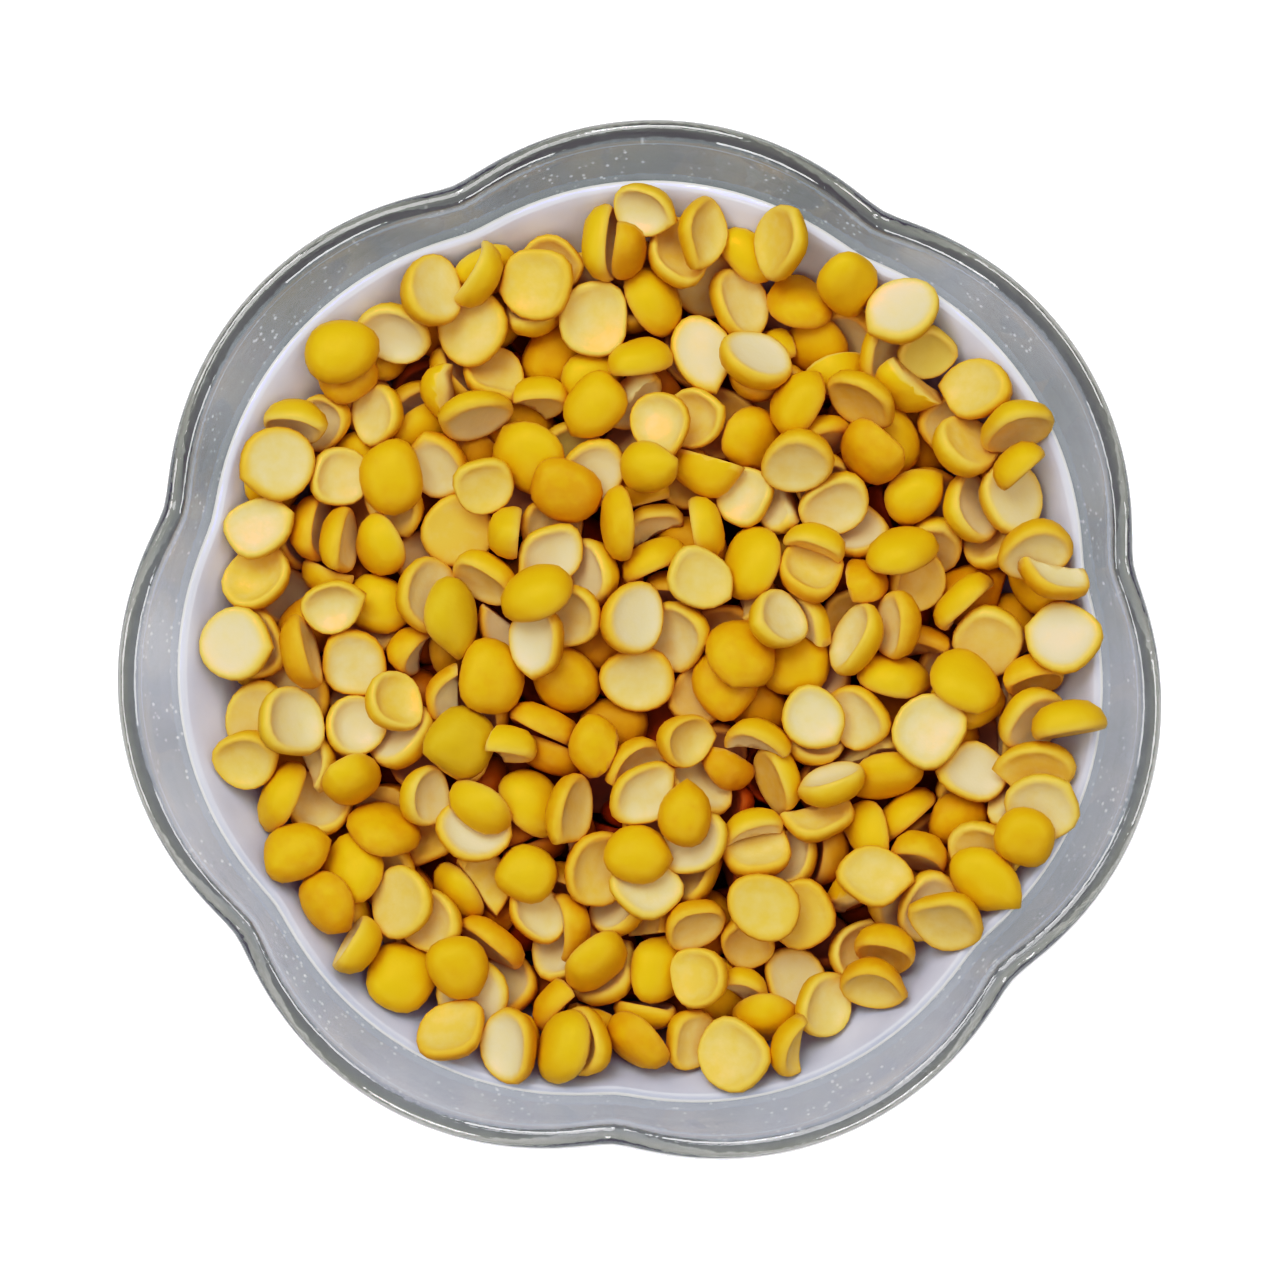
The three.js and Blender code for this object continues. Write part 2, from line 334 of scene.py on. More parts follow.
# name of the result, operation, first and second value: a number, an input or an earlier result
GRID_SUMS = [
    ("columns", "ADD", "Sides", 1.0),
    ("row", "MODULO", "index", "count"),
    ("exact column", "DIVIDE", "index", "count"),
    ("column", "FLOOR", "exact column", 0.0),
    ("share", "DIVIDE", "column", "Sides"),
    ("turn", "MULTIPLY", "share", 2 * math.pi),
    ("angle", "ADD", "turn", "Notch angle"),
]
LOBE_SUMS = [
    ("from first notch", "SUBTRACT", "angle", "Notch angle"),
    ("turns", "DIVIDE", "from first notch", LOBE_STEP),
    ("nearest", "ROUND", "turns", 0.0),
    ("astray", "SUBTRACT", "turns", "nearest"),
    ("from notch", "MULTIPLY", "astray", LOBE_STEP),
    ("notch squared", "MULTIPLY", "from notch", "from notch"),
    ("softness squared", "MULTIPLY", "Softness", "Softness"),
    ("both squared", "ADD", "notch squared", "softness squared"),
    ("softened", "SQRT", "both squared", 0.0),
    ("from lobe", "SUBTRACT", LOBE_STEP / 2, "softened"),
    ("lobe sine", "SINE", "from lobe", 0.0),
    ("lobe cosine", "COSINE", "from lobe", 0.0),
    ("across", "MULTIPLY", "Arc centre", "lobe sine"),
    ("along", "MULTIPLY", "Arc centre", "lobe cosine"),
    ("across squared", "MULTIPLY", "across", "across"),
    ("arc squared", "MULTIPLY", "Arc radius", "Arc radius"),
    ("reach squared", "SUBTRACT", "arc squared", "across squared"),
    ("reach", "SQRT", "reach squared", 0.0),
    ("outline", "ADD", "along", "reach"),
    ("outline share", "DIVIDE", "outline", "Rim radius"),
    ("outline excess", "SUBTRACT", "outline share", 1.0),
    ("above start", "SUBTRACT", "height", "Lobes start"),
    ("lobed height", "SUBTRACT", "Dish height", "Lobes start"),
    ("climb", "DIVIDE", "above start", "lobed height"),
    ("climb from 0", "MAXIMUM", "climb", 0.0),
    ("climb to 1", "MINIMUM", "climb from 0", 1.0),
    ("lobe strength", "POWER", "climb to 1", "Lobes growth"),
    ("widening", "MULTIPLY", "lobe strength", "outline excess"),
    ("factor", "ADD", "widening", 1.0),
    ("reach from axis", "MULTIPLY", "radius", "factor"),
    ("sine", "SINE", "angle", 0.0),
    ("cosine", "COSINE", "angle", 0.0),
    ("x", "MULTIPLY", "reach from axis", "cosine"),
    ("y", "MULTIPLY", "reach from axis", "sine"),
]


def add_sums(add, values, sums):
    """Adds a table of sums and keeps each result in values under its name."""
    for name, operation, first, second in sums:
        terms = {0: values.get(first, first), 1: values.get(second, second)}
        values[name] = add("ShaderNodeMath", terms, operation=operation)


def lobed_lathe_tree():
    sizes = dict.fromkeys(LATHE_SIZES, "Float")
    inputs = {"Profile": "Geometry", "Sides": "Int", **sizes, "Material": "Material"}
    tree, add, given = new_tree("Lobed lathe", inputs, "Solid")
    points = add("GeometryNodeAttributeDomainSize", {"Geometry": given["Profile"]})
    values = {name: given[name] for name in ("Sides", *LATHE_SIZES)}
    values["count"] = points.outputs["Point Count"]
    values["index"] = add("GeometryNodeInputIndex")
    add_sums(add, values, GRID_SUMS)
    grid = add("GeometryNodeMeshGrid", {"Vertices X": values["columns"], "Vertices Y": values["count"]})
    position = add("GeometryNodeInputPosition")
    chosen = {"Geometry": given["Profile"], "Value": position, "Index": values["row"]}
    sample = add("GeometryNodeSampleIndex", chosen, data_type="FLOAT_VECTOR")
    corner = add("ShaderNodeSeparateXYZ", {"Vector": sample})
    values.update(radius=corner.outputs["X"], height=corner.outputs["Z"])
    add_sums(add, values, LOBE_SUMS)

    place = add("ShaderNodeCombineXYZ", {"X": values["x"], "Y": values["y"], "Z": values["height"]})
    shaped = add("GeometryNodeSetPosition", {"Geometry": grid, "Position": place})
    welded = add("GeometryNodeMergeByDistance", {"Geometry": shaped, "Distance": WELD})
    smooth = add("GeometryNodeSetShadeSmooth", {"Geometry": welded})
    painted = add("GeometryNodeSetMaterial", {"Geometry": smooth, "Material": given["Material"]})
    add("NodeGroupOutput", {"Solid": painted})
    return tree


lathe_tree = lobed_lathe_tree()
print("the lobed lathe has", len(lathe_tree.nodes), "nodes")

# %% Turn a profile with the tree
def made_plain(name, source):
    """What a modifier makes, as a plain mesh object with its faces pointing out."""
    evaluated = source.evaluated_get(bpy.context.evaluated_depsgraph_get())
    mesh = bpy.data.meshes.new_from_object(evaluated)
    bpy.data.objects.remove(source)
    mesh.name = name
    return add_object(name, mesh)


def face_outwards(piece):
    """Turns every face of a closed mesh outwards."""
    work = bmesh.new()
    work.from_mesh(piece.data)
    bmesh.ops.recalc_face_normals(work, faces=work.faces)
    if work.calc_volume(signed=True) < 0:
        bmesh.ops.reverse_faces(work, faces=work.faces)
    print(piece.name, len(work.faces), "faces,", round(work.calc_volume() / MM**3 / 1000, 1), "cm3")
    work.to_mesh(piece.data)
    work.free()


def set_inputs(modifier, values):
    """Sets a modifier's inputs by name, through the identifiers of the tree's sockets."""
    for item in modifier.node_group.interface.items_tree:
        if item.in_out == "INPUT" and item.name in values:
            modifier[item.identifier] = values[item.name]


def turned(name, profile, sides, material):
    """A closed piece turned from (radius, height) points by the lobed lathe."""
    mesh = bpy.data.meshes.new(name)
    chain = [(radius, 0, height) for radius, height in profile]
    mesh.from_pydata(chain, [(i, i + 1) for i in range(len(chain) - 1)], [])
    source = add_object(name + " profile", mesh)
    modifier = source.modifiers.new("lathe", "NODES")
    modifier.node_group = lathe_tree
    set_inputs(modifier, {**LATHE_SIZES, "Sides": sides, "Material": material})
    piece = made_plain(name, source)
    face_outwards(piece)
    return piece


# %% [markdown]
# ## The dish's profile
#
# The outer line runs from the middle of the foot up the wall. The rim is a half circle, and the
# inner line comes back down to the middle of the floor. Points are closer together where the
# wall bends most, by the same spacing as in the measured model but three times as many.

# %% Draw the wall
GLASS_SIDES = LOBES * 32
WALL_STEPS = 30
RIM_STEPS = 16
FOOT_BEVEL_STEPS = 5
CROWD_LOW = 1.5  # how much the points crowd at the wall's low end
CROWD_HIGH = 1.15  # and at its rim


def wall_curve(share, low_radius, high_radius):
    """The wall's radius at a share of its height, from its low end (0) to its rim (1)."""
    swept = (1 - (1 - share) ** WALL_LIFT) ** WALL_ROUND
    return low_radius + (high_radius - low_radius) * swept


def wall_shares(count):
    return [1 - (1 - (i / count) ** CROWD_LOW) ** CROWD_HIGH for i in range(count + 1)]


def inner_face(count, top_height):
    """The inner face of the glass, from the axis across the floor and up to a height."""
    rise = WALL_TOP - BASE_THICKNESS
    top_share = (top_height - BASE_THICKNESS) / rise
    points = [(0.0, BASE_THICKNESS)]
    for share in wall_shares(count):
        climbed = share * top_share
        radius = wall_curve(climbed, FLOOR_RADIUS, RIM_RADIUS - RIM_THICKNESS)
        points.append((radius, BASE_THICKNESS + climbed * rise))
    return points


def moved_inward(points, distance):
    """A profile moved into the bowl by a distance, square to itself."""
    moved = []
    for i, (radius, height) in enumerate(points):
        before = points[max(i - 1, 0)]
        after = points[min(i + 1, len(points) - 1)]
        run, rise = after[0] - before[0], after[1] - before[1]
        length = math.hypot(run, rise)
        if i == 0:
            run, rise, length = 1.0, 0.0, 1.0
        moved.append((radius - rise / length * distance, height + run / length * distance))
    return moved


def dish_profile():
    profile = [(0.0, 0.0), (FOOT_RADIUS, 0.0)]
    for i in range(1, FOOT_BEVEL_STEPS + 1):
        turn = math.pi / 2 * i / FOOT_BEVEL_STEPS
        height = FOOT_HEIGHT * 0.5 * (1 - math.cos(turn))
        profile.append((FOOT_RADIUS + FOOT_FLARE * math.sin(turn), height))
    for share in wall_shares(WALL_STEPS):
        radius = wall_curve(share, FOOT_RADIUS + FOOT_FLARE, RIM_RADIUS)
        profile.append((radius, FOOT_HEIGHT + share * (WALL_TOP - FOOT_HEIGHT)))
    for i in range(1, RIM_STEPS):
        turn = math.pi * i / RIM_STEPS
        out = RIM_THICKNESS / 2 * math.cos(turn)
        profile.append((RIM_RADIUS - RIM_THICKNESS / 2 + out, WALL_TOP + RIM_THICKNESS / 2 * math.sin(turn)))
    return profile + inner_face(WALL_STEPS, WALL_TOP)[::-1]


def mark_outwardness(piece):
    """Stores at each point how far its surface faces away from the axis, from -1 to 1."""
    values = [point.normal.dot(point.co.xy.to_3d().normalized()) for point in piece.data.vertices]
    store(piece.data, "outward", values)


pressed_dish = turned("pressed_dish", dish_profile(), GLASS_SIDES, glass_material)
mark_outwardness(pressed_dish)

# %% [markdown]
# ## The liner
#
# The liner is the glass's inner face moved inwards by its gap and its own thickness. Its outer
# side bites a hair into the glass, because a film of air would mirror like silver from outside.
# Its edge gets a small round lip.

# %% Make the liner
LINER_STEPS = 26
BITE = 0.05 * MM
LIP_STEPS = 6


def liner_profile():
    glass = inner_face(LINER_STEPS, LINER_EDGE_HEIGHT)
    outer = moved_inward(glass, -BITE)
    inner = moved_inward(glass, FIT_GAP + LINER_THICKNESS)
    (out_r, out_z), (in_r, in_z) = outer[-1], inner[-1]
    middle_r, middle_z = (out_r + in_r) / 2, (out_z + in_z) / 2
    lip = []
    for i in range(1, LIP_STEPS):
        turn = math.pi * i / LIP_STEPS
        across, up = math.cos(turn), math.sin(turn)
        half_r, half_z = (out_r - in_r) / 2, (out_z - in_z) / 2
        lip.append((middle_r + half_r * across - half_z * up, middle_z + half_z * across + half_r * up))
    return outer + lip + inner[::-1]


satin_liner = turned("satin_liner", liner_profile(), GLASS_SIDES, liner_material)
mark_outwardness(satin_liner)

# %% [markdown]
# ## One half of a lentil
#
# A split lentil is a seed leaf: a low dome with a flat, slightly hollow cut face inside a broad
# rounded rim. Some halves are round, some oval, many end in the small beak where the seedling's
# root lay, and a few have lost a piece. Each half is a stack of rings about +Z, the cut face
# down at zero. One number per point, "cut", says how much it belongs to the cut face, and the
# material reads it.

# %% Shape the halves
LENTIL_RADIUS = 3.4 * MM
LENTIL_THICKNESS = 3.0 * MM
RING_SIDES = 20
BALANCE = 0.4  # share of its thickness at which a half balances
BEAK_WIDTH = 0.28  # in radians
BEAKS = [0.0, 0.05, 0.10, 0.16, 0.24]  # how far a beak sticks out, as a share of the radius

# share of the radius, share of the thickness, share of the hollow, and how much it is cut face
RINGS = [
    (0.36, 0.00, 0.95, 1.0),
    (0.58, 0.00, 0.74, 0.94),
    (0.74, 0.00, 0.36, 0.74),
    (0.85, 0.00, 0.02, 0.46),
    (0.93, 0.03, -0.05, 0.26),
    (0.99, 0.13, 0.00, 0.15),
    (1.00, 0.30, 0.00, 0.06),
    (0.90, 0.62, 0.00, 0.0),
    (0.64, 0.88, 0.00, 0.0),
    (0.30, 0.98, 0.00, 0.0),
]


def ring_faces(rings, sides, first=0):
    """The faces between rings that all have the same number of points."""
    faces = []
    for low in range(first, first + (rings - 1) * sides, sides):
        for i in range(sides):
            after = (i + 1) % sides
            faces.append((low + i, low + after, low + sides + after, low + sides + i))
    return faces


def half_lentil(name, draw, sides=RING_SIDES, chipped=False):
    """A half with its own size, outline, beak, hollow and bend, drawn from a seeded source."""
    radius = LENTIL_RADIUS * draw.uniform(0.86, 1.14)
    thickness = LENTIL_THICKNESS * draw.uniform(0.84, 1.16)
    oval = draw.uniform(0.92, 1.12)
    beak = draw.choice(BEAKS)
    square = draw.uniform(0.0, 0.05)
    hollow = draw.uniform(0.10, 0.38) * thickness
    bend = draw.uniform(-0.05, 0.14) * thickness
    lean = draw.uniform(-0.18, 0.18)
    phase = draw.uniform(0, 2 * math.pi)
    points, cut = [(0.0, 0.0, hollow)], [1.0]
    for share, up, hollowed, face in RINGS:
        for i in range(sides):
            angle = 2 * math.pi * i / sides
            outline = 1 + square * math.cos(4 * angle + phase) + 0.03 * math.cos(3 * angle + 2 * phase)
            tip = math.exp(-((math.remainder(angle, 2 * math.pi) / BEAK_WIDTH) ** 2))
            outline += beak * tip * share**3 * (1 - 0.75 * up)
            x = radius * share * outline * oval * math.cos(angle) + lean * up * radius * 0.5
            y = radius * share * outline / oval * math.sin(angle)
            z = thickness * up + hollow * hollowed + bend * (x / radius) ** 2
            points.append((x, y, z))
            cut.append(face)
    points.append((lean * radius * 0.5, 0.0, thickness))
    cut.append(0.0)

    top = len(points) - 1
    faces = [(0, 1 + (i + 1) % sides, 1 + i) for i in range(sides)]
    faces += ring_faces(len(RINGS), sides, first=1)
    last = 1 + (len(RINGS) - 1) * sides
    faces += [(last + i, last + (i + 1) % sides, top) for i in range(sides)]

    points = [(x, y, z - thickness * BALANCE) for x, y, z in points]
    mesh = bpy.data.meshes.new(name)
    mesh.from_pydata(points, [], faces)
    store(mesh, "cut", cut)
    if chipped:
        chip(mesh, radius, draw)
    mesh.shade_smooth()
    return mesh


def chip(mesh, radius, draw):
    """Breaks a piece off a half along a slanting plane, and closes the break."""
    work = bmesh.new()
    work.from_mesh(mesh)
    turn = draw.uniform(0, 2 * math.pi)
    side = (math.cos(turn), math.sin(turn), draw.uniform(-0.4, 0.4))
    start = [radius * draw.uniform(-0.1, 0.35) * s for s in side]
    everything = work.verts[:] + work.edges[:] + work.faces[:]
    result = bmesh.ops.bisect_plane(work, geom=everything, plane_co=start, plane_no=side, clear_outer=True)
    broken = [e for e in result["geom_cut"] if isinstance(e, bmesh.types.BMEdge)]
    bmesh.ops.edgeloop_fill(work, edges=broken)
    layer = work.verts.layers.float["cut"]
    for edge in broken:
        for vert in edge.verts:
            vert[layer] = max(vert[layer], 0.5)
    work.to_mesh(mesh)
    work.free()


# %% [markdown]
# ## The skin of a split lentil
#
# The round side is the seed leaf's own skin: smooth, satin and golden, from orange to lemon. The
# cut face is dry and pale, cream in the middle and lemon on its rim, where the lemon is partly its
# own colour and partly a painted highlight along the rounded edge. Each half carries two random
# numbers, "tone" and "bleach", that shift its gold and its cream, and one, "depth", by which
# painted shade darkens it where it lies deep in the heap.

# %% Make the lentil's finish
GOLD_TONES = [(0.0, "d09106"), (0.25, "d8a009"), (0.60, "dca80c"), (0.85, "ddaa10"), (1.0, "d8a612")]
# the lemon of the cut face's rim is partly its own colour and partly a painted highlight
EDGE_AND_HIGHLIGHT_TONES = [(0.0, "dea432"), (0.5, "e2b044"), (1.0, "e6bc5c")]
CREAM_TONES = [(0.0, "deb14c"), (0.3, "e1bc70"), (0.65, "e2c890"), (1.0, "e0ca9f")]
# painted shade, multiplied into halves that lie deep in the heap
DEEP_SHADE_TINT = "a85c0a"
MOTTLE_SIZE = 1.5 * MM
WRINKLE_SIZE = 0.9 * MM
WRINKLE_HEIGHT = 0.11 * MM
EDGE_TO = 0.3  # the rim's lemon is full at this value of "cut"
FACE_FROM = 0.22  # and the cream of the face grows between these two
FACE_TO = 0.92
OLIVE_TONES = [(0.0, "bd960e"), (1.0, "cca214")]
OLIVE_CREAMS = [(0.0, "d2b456"), (1.0, "dac472")]


def lentil_skin(name, gold_tones, cream_tones):
    material, add = new_material(name)
    place = add("ShaderNodeTexCoord").outputs["Object"]
    tone = add("ShaderNodeAttribute", attribute_name="tone").outputs["Fac"]
    bleach = add("ShaderNodeAttribute", attribute_name="bleach").outputs["Fac"]
    cut = add("ShaderNodeAttribute", attribute_name="cut").outputs["Fac"]
    mottle = add("ShaderNodeTexNoise", {"Vector": place, "Scale": 1 / MOTTLE_SIZE, "Detail": 3.0})
    stray = add(
        "ShaderNodeMapRange",
        {"Value": mottle, "From Min": 0.3, "From Max": 0.7, "To Min": -0.13, "To Max": 0.13},
    )
    strayed_tone = add("ShaderNodeMath", {0: tone, 1: stray}, operation="ADD")
    strayed_bleach = add("ShaderNodeMath", {0: bleach, 1: stray}, operation="ADD")
    gold = add("ShaderNodeValToRGB", {"Fac": strayed_tone}, gold_tones)
    # lemon rim: its own colour and a painted highlight along the rounded edge
    lemon = add("ShaderNodeValToRGB", {"Fac": strayed_tone}, EDGE_AND_HIGHLIGHT_TONES)
    cream = add("ShaderNodeValToRGB", {"Fac": strayed_bleach}, cream_tones)
    edge = add("ShaderNodeMapRange", {"Value": cut, "From Max": EDGE_TO}, interpolation_type="SMOOTHSTEP")
    outer = add("ShaderNodeMix", {"Factor": edge, "A": gold, "B": lemon}, data_type="RGBA")
    face = add(
        "ShaderNodeMapRange",
        {"Value": cut, "From Min": FACE_FROM, "From Max": FACE_TO},
        interpolation_type="SMOOTHSTEP",
    )
    colour = add("ShaderNodeMix", {"Factor": face, "A": outer, "B": cream}, data_type="RGBA")
    # painted shade: a half deep in the heap is darkened by its depth
    deep = add("ShaderNodeAttribute", attribute_name="depth").outputs["Fac"]
    shaded = add(
        "ShaderNodeMix",
        {"Factor": deep, "A": colour, "B": linear(DEEP_SHADE_TINT)},
        data_type="RGBA",
        blend_type="MULTIPLY",
    )
    rough = add("ShaderNodeMapRange", {"Value": face, "To Min": 0.48, "To Max": 0.62})
    wrinkle = add("ShaderNodeTexNoise", {"Vector": place, "Scale": 1 / WRINKLE_SIZE, "Detail": 3.0})
    bump = add("ShaderNodeBump", {"Height": wrinkle, "Strength": 0.45, "Distance": WRINKLE_HEIGHT})
    skin = add(
        "ShaderNodeBsdfPrincipled",
        {
            "Base Color": shaded,
            "Roughness": rough,
            "IOR": 1.45,
            "Specular IOR Level": 0.28,
            "Specular Tint": linear("ffd890"),
            "Normal": bump,
        },
    )
    add("ShaderNodeOutputMaterial", {"Surface": skin})
    return material


golden_skin = lentil_skin("golden lentil skin", GOLD_TONES, CREAM_TONES)
olive_skin = lentil_skin("olive lentil skin", OLIVE_TONES, OLIVE_CREAMS)
print("made", golden_skin.name, "and", olive_skin.name)

# %% [markdown]
# ## The core under the halves
#
# Nobody sees the halves at the bottom, so the heap has a smooth core there, painted a deep
# red-brown as the shade between lentils. It is turned by the same lathe: along the liner's
# inside, and over the top as a low dome that lies a little below the loose halves.

# %% Make the core
LINER_TO_HEAP = FIT_GAP + LINER_THICKNESS + FIT_GAP
LOOSE_DEPTH = 11.5 * MM
CORE_STEPS = 12
CORE_SIDES = LOBES * 12
PATCH_SIZE = 5 * MM
FACE_STEPS = 40


def core_shade():
    material, add = new_material("shade between lentils")
    place = add("ShaderNodeTexCoord").outputs["Object"]
    patch = add("ShaderNodeTexVoronoi", {"Vector": place, "Scale": 1 / PATCH_SIZE})
    # painted shade: the core's dark red-brown stands where only shade falls between lentils
    colour = add("ShaderNodeValToRGB", {"Fac": patch}, [(0.0, "4c1803"), (0.7, "300a02")])
    shade = add("ShaderNodeBsdfPrincipled", {"Base Color": colour, "Roughness": 0.8})
    add("ShaderNodeOutputMaterial", {"Surface": shade})
    return material


def free_radius(height):
    """Radius of the space inside the liner, or above its edge inside the glass."""
    inset = LINER_TO_HEAP if height < LINER_EDGE_HEIGHT + FIT_GAP else FIT_GAP
    face = moved_inward(inner_face(FACE_STEPS, WALL_TOP), inset)
    return float(np.interp(height, [z for _, z in face], [r for r, _ in face]))


HEAP_RADIUS = free_radius(HEAP_EDGE_HEIGHT)


def heap_height(distance):
    """Height of the heap's surface at a distance from the axis: a low dome."""
    share = min(distance / HEAP_RADIUS, 1)
    return HEAP_CROWN_HEIGHT - (HEAP_CROWN_HEIGHT - HEAP_EDGE_HEIGHT) * share**2


def core_profile():
    wall = moved_inward(inner_face(CORE_STEPS, HEAP_EDGE_HEIGHT - LOOSE_DEPTH), LINER_TO_HEAP)
    edge = wall[-1][0]
    top = [edge * i / CORE_STEPS for i in range(CORE_STEPS - 1, -1, -1)]
    return wall + [(r, heap_height(r) - LOOSE_DEPTH) for r in top]


heap_core = turned("heap_core", core_profile(), CORE_SIDES, core_shade())

# %% [markdown]
# ## Pouring the halves
#
# A heap looks right when gravity made it. Each half starts above the dish with a random turn,
# most in layers of a golden spiral and the last ones in rings along the wall, and falls onto the
# core as a rigid body. The simulation runs at 100 units to the metre, because the solver's
# margins suit things of a few units, and the liner and the glass above it are one still wall.
# Coarse copies of the halves fall in place of the fine ones, since only their hulls touch. A
# half that comes to rest on the rim is taken away.

# %% Draw the kinds of half
SEED = 20417
WHOLE_KINDS = 16
CHIPPED_KINDS = 6
FALLING_SIDES = 9
SIM_SCALE = 100.0

draw = random.Random(SEED)
kinds = []
for number in range(WHOLE_KINDS + CHIPPED_KINDS):
    state = draw.getstate()
    fine = half_lentil(f"half_{number:02d}", draw, chipped=number >= WHOLE_KINDS)
    after = draw.getstate()
    draw.setstate(state)
    coarse = half_lentil(f"falling_{number:02d}", draw, sides=FALLING_SIDES, chipped=number >= WHOLE_KINDS)
    coarse.transform(Matrix.Scale(SIM_SCALE, 4))
    draw.setstate(after)
    kinds.append((fine, coarse))
print(len(kinds), "kinds of half, each", len(kinds[0][0].polygons), "faces")

# %% Build the still wall and floor
WALL_SIDES = LOBES * 12
WALL_HEIGHTS = [17, 20, 23, 26, 29, 32, 35, 37.5, 70]  # of the still wall's rings, in mm
FLOOR_RADII = [0, 8, 16, 24, 32, 38, 42, 47]  # of the still floor's rings, in mm
GRAVITY = 25  # in the simulation's own units, weak enough for a calm fall
SUBSTEPS = 8
SOLVER_STEPS = 12
FALL_SETTINGS = {
    "friction": 0.65,
    "restitution": 0.0,
    "use_margin": True,
    "collision_margin": 0.01,
    "linear_damping": 0.08,
    "angular_damping": 0.25,
}
CORE_MARGIN = 4 * MM  # a half this far below the core's edge has slipped through and is dropped
LAYER_TURN = 1.7  # radians from each layer's spiral to the next


def rim_outline(angle):
    """Radius of the rim's outline at an angle about the dish's axis."""
    turns = (angle - FIRST_NOTCH) / LOBE_STEP
    from_notch = abs(turns - round(turns)) * LOBE_STEP
    from_lobe = LOBE_STEP / 2 - math.sqrt(from_notch**2 + NOTCH_SOFTNESS**2)
    across = LOBE_ARC_CENTRE * math.sin(from_lobe)
    return LOBE_ARC_CENTRE * math.cos(from_lobe) + math.sqrt(LOBE_ARC_RADIUS**2 - across**2)


def lobing(angle, height):
    """How much the lobes widen the dish at an angle and a height."""
    climb = min(max((height - LOBES_START) / (DISH_HEIGHT - LOBES_START), 0), 1)
    return 1 + climb**LOBES_GROWTH * (rim_outline(angle) / RIM_RADIUS - 1)


def still_grid(name, rings):
    """A still surface for the simulation, from rings of (radius, height, height for the lobes)."""
    points = []
    for radius, height, lobed_height in rings:
        for i in range(WALL_SIDES):
            angle = 2 * math.pi * i / WALL_SIDES
            reach = radius * lobing(angle, lobed_height) * SIM_SCALE
            points.append((reach * math.cos(angle), reach * math.sin(angle), height * SIM_SCALE))
    mesh = bpy.data.meshes.new(name)
    mesh.from_pydata(points, [], ring_faces(len(rings), WALL_SIDES))
    return add_object(name, mesh)


def starting_turn():
    """A random turn, more often with the cut face up than down."""
    chance = draw.random()
    if chance > FACE_UP_SHARE + DOME_UP_SHARE:
        return Quaternion([draw.gauss(0, 1) for _ in range(4)]).normalized()
    over = math.pi if chance < FACE_UP_SHARE else 0.0
    lean = Quaternion((1, 0, 0), over + draw.gauss(0, LEAN_SPREAD))
    return Quaternion((0, 0, 1), draw.uniform(0, 2 * math.pi)) @ lean


def starting_places(count, depth):
    """Where the halves start: layers of a golden spiral, then rings close along the wall."""
    golden_angle = math.pi * (3 - math.sqrt(5))
    places = []
    for i in range(count):
        layer, place = divmod(i, PER_LAYER)
        reach = min(START_RADIUS + START_WIDENING * layer, START_LIMIT)
        distance = reach * math.sqrt((place + 0.5) / PER_LAYER)
        angle = place * golden_angle + layer * LAYER_TURN
        height = heap_height(distance) - depth + START_RISE + layer * LAYER_GAP
        places.append(Vector((distance * math.cos(angle), distance * math.sin(angle), height)))
    height = max(place.z for place in places)
    for i in range(EDGE_HALVES):
        ring, place = divmod(i, PER_EDGE_RING)
        angle = 2 * math.pi * place / PER_EDGE_RING + ring * golden_angle
        distance = EDGE_START * lobing(angle, WALL_TOP)
        above = height + (ring + 1) * LAYER_GAP
        places.append(Vector((distance * math.cos(angle), distance * math.sin(angle), above)))
    return places


def pour(count, depth, frames):
    """Drops the halves and returns, for each one that stays in the dish, its kind and its matrix."""
    scene = bpy.context.scene
    wall_rings = []
    for height in [h * MM for h in WALL_HEIGHTS]:
        top = min(height, WALL_TOP)
        wall_rings.append((free_radius(top) + FIT_GAP, height, top))
    floor_rings = [(r * MM, heap_height(r * MM) - depth, 0.0) for r in FLOOR_RADII]
    stills = [still_grid("still wall", wall_rings), still_grid("still floor", floor_rings)]

    falling = []
    for i, start in enumerate(starting_places(count, depth)):
        kind = draw.choices(range(len(kinds)), weights=KIND_SHARES)[0]
        half = add_object(f"falling {i}", kinds[kind][1])
        half.location = start * SIM_SCALE
        half.rotation_mode = "QUATERNION"
        half.rotation_quaternion = starting_turn()
        falling.append((kind, half))

    bpy.context.view_layer.update()
    bpy.ops.rigidbody.world_add()
    world = scene.rigidbody_world
    world.substeps_per_frame = SUBSTEPS
    world.solver_iterations = SOLVER_STEPS
    world.point_cache.frame_end = frames + 1
    scene.gravity = (0, 0, -GRAVITY)
    for objects, kind in ((stills, "PASSIVE"), ([half for _, half in falling], "ACTIVE")):
        bpy.ops.object.select_all(action="DESELECT")
        for each in objects:
            each.select_set(True)
        bpy.context.view_layer.objects.active = objects[0]
        bpy.ops.rigidbody.objects_add(type=kind)
        for each in objects:
            body = each.rigid_body
            body.collision_shape = "MESH" if kind == "PASSIVE" else "CONVEX_HULL"
            for name, value in FALL_SETTINGS.items():
                setattr(body, name, value)
    for frame_number in range(1, frames + 1):
        scene.frame_set(frame_number)

    settled = []
    for kind, half in falling:
        matrix = half.matrix_world.copy()
        matrix.translation /= SIM_SCALE
        settled.append((kind, matrix))
    bpy.ops.rigidbody.world_remove()
    for each in stills + [half for _, half in falling]:
        bpy.data.objects.remove(each)
    scene.frame_set(1)
    low = HEAP_EDGE_HEIGHT - depth - CORE_MARGIN
    return [(kind, matrix) for kind, matrix in settled if rests_inside(matrix.translation, low)]


def rests_inside(place, low):
    """Whether a half came to rest above the core and short of the rim."""
    limit = EDGE_LIMIT * lobing(math.atan2(place.y, place.x), WALL_TOP)
    return place.z > low and math.hypot(place.x, place.y) < limit


